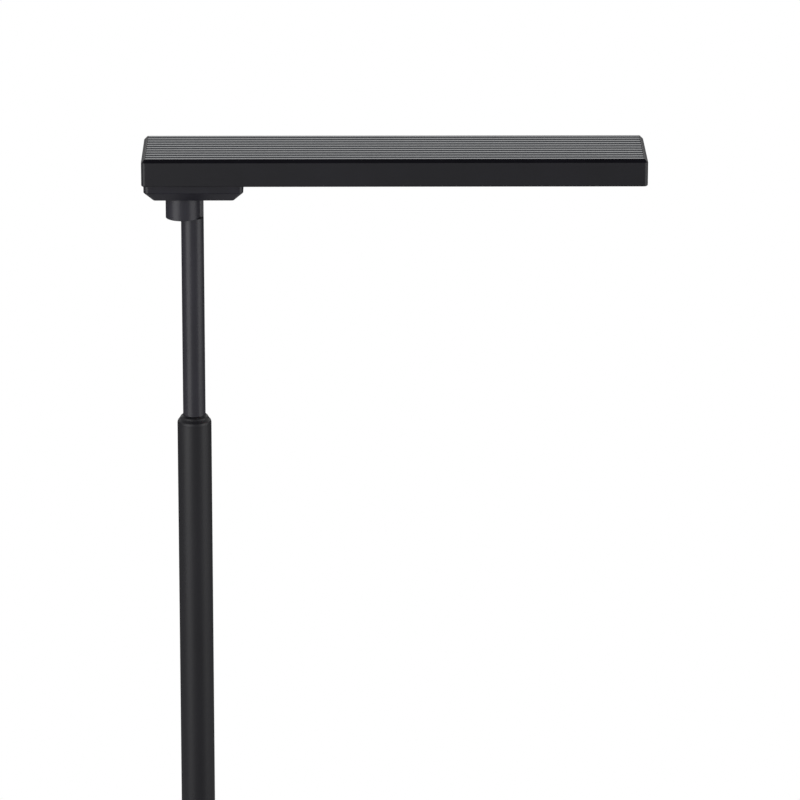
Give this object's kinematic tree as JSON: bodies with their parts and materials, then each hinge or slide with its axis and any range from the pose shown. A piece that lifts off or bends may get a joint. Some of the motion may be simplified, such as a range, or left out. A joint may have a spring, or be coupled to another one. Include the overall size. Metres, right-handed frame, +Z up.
{
  "type": "telescopic reading lamp",
  "caption": "Floor-standing lamp for a music stand: weighted round base, telescopic pole and a long flat ribbed LED head that swivels on an eccentric hub.",
  "frame": {"origin": "centre of the base's underside, on the pole's axis, level with the floor", "axes": "+Z up along the pole, +X from the pole towards the head's far end, -Y towards the front"},
  "size_m": [0.4585, 0.26, 1.25],
  "materials": {
    "base_black": "fine textured black powder coat",
    "iron": "as cast, primed",
    "rubber_black": "matte rubber",
    "zinc_steel": "zinc-plated steel",
    "black_steel": "blackened steel",
    "inlet_plastic": "moulded black plastic",
    "brass": "turned brass",
    "pole_black": "fine satin black powder coat",
    "nylon": "natural nylon",
    "pole_grey": "satin gunmetal coated steel tube",
    "cast_black": "satin black painted die casting",
    "head_black": "satin black anodised aluminium",
    "sink_black": "black anodised extruded ribs",
    "board_white": "white solder mask on an aluminium-core board",
    "led": "phosphor-filled LED packages",
    "white_plastic": "matte white",
    "opal": "opal light-spreading acrylic",
    "board_green": "green solder mask on glass-epoxy",
    "component": "moulded component bodies",
    "button_black": "moulded black plastic"
  },
  "bodies": {
    "base": {"base_cover": "base_black", "base_weight": "iron", "base_pad": "rubber_black", "base_bolt": "zinc_steel", "base_washer": "zinc_steel", "base_ring": "base_black", "pole_spigot": "zinc_steel", "pole_set_screw": "black_steel", "dc_inlet": "inlet_plastic", "inlet_pin": "brass", "outer_tube_lower": "pole_black", "tube_coupler": "pole_black", "outer_tube_upper": "pole_black", "telescope_collar": "pole_black", "friction_sleeve": "nylon", "sleeve_retainer": "nylon"},
    "mast": {"inner_tube": "pole_grey", "inner_guide": "nylon", "swivel_hub": "cast_black", "hub_set_screw": "black_steel", "pivot_tube": "zinc_steel", "stop_pin": "zinc_steel", "thrust_washer": "zinc_steel", "spring_washer": "zinc_steel", "pivot_nut": "zinc_steel"},
    "head": {"foot_plate": "cast_black", "friction_washer": "nylon", "foot_screws": "zinc_steel", "head_shell": "head_black", "heat_sink": "sink_black", "sink_screws": "black_steel", "led_board": "board_white", "led_chips": "led", "reflector": "white_plastic", "diffuser": "opal", "bottom_panel": "head_black", "panel_screws": "black_steel", "wire_grommet": "rubber_black", "board_standoffs": "zinc_steel", "driver_board": "board_green", "driver_parts": "component", "switch_body": "component"},
    "button": {"power_button": "button_black"}
  },
  "joints": [
    {"name": "height_slide", "type": "slide", "parent": "base", "child": "mast", "axis": [0, 0, 1], "range_m": [-0.145, 0.235]},
    {"name": "head_swivel", "type": "hinge", "parent": "mast", "child": "head", "pos_m": [-0.0068, 0, 1.2147], "axis": [0, 0, 1], "range_deg": [-150, 150]},
    {"name": "button_press", "type": "slide", "parent": "head", "child": "button", "axis": [0, 0, 1], "range_m": [0, 0.0006], "stiffness_N_per_m": 400, "springref_m": -0.0015}
  ]
}
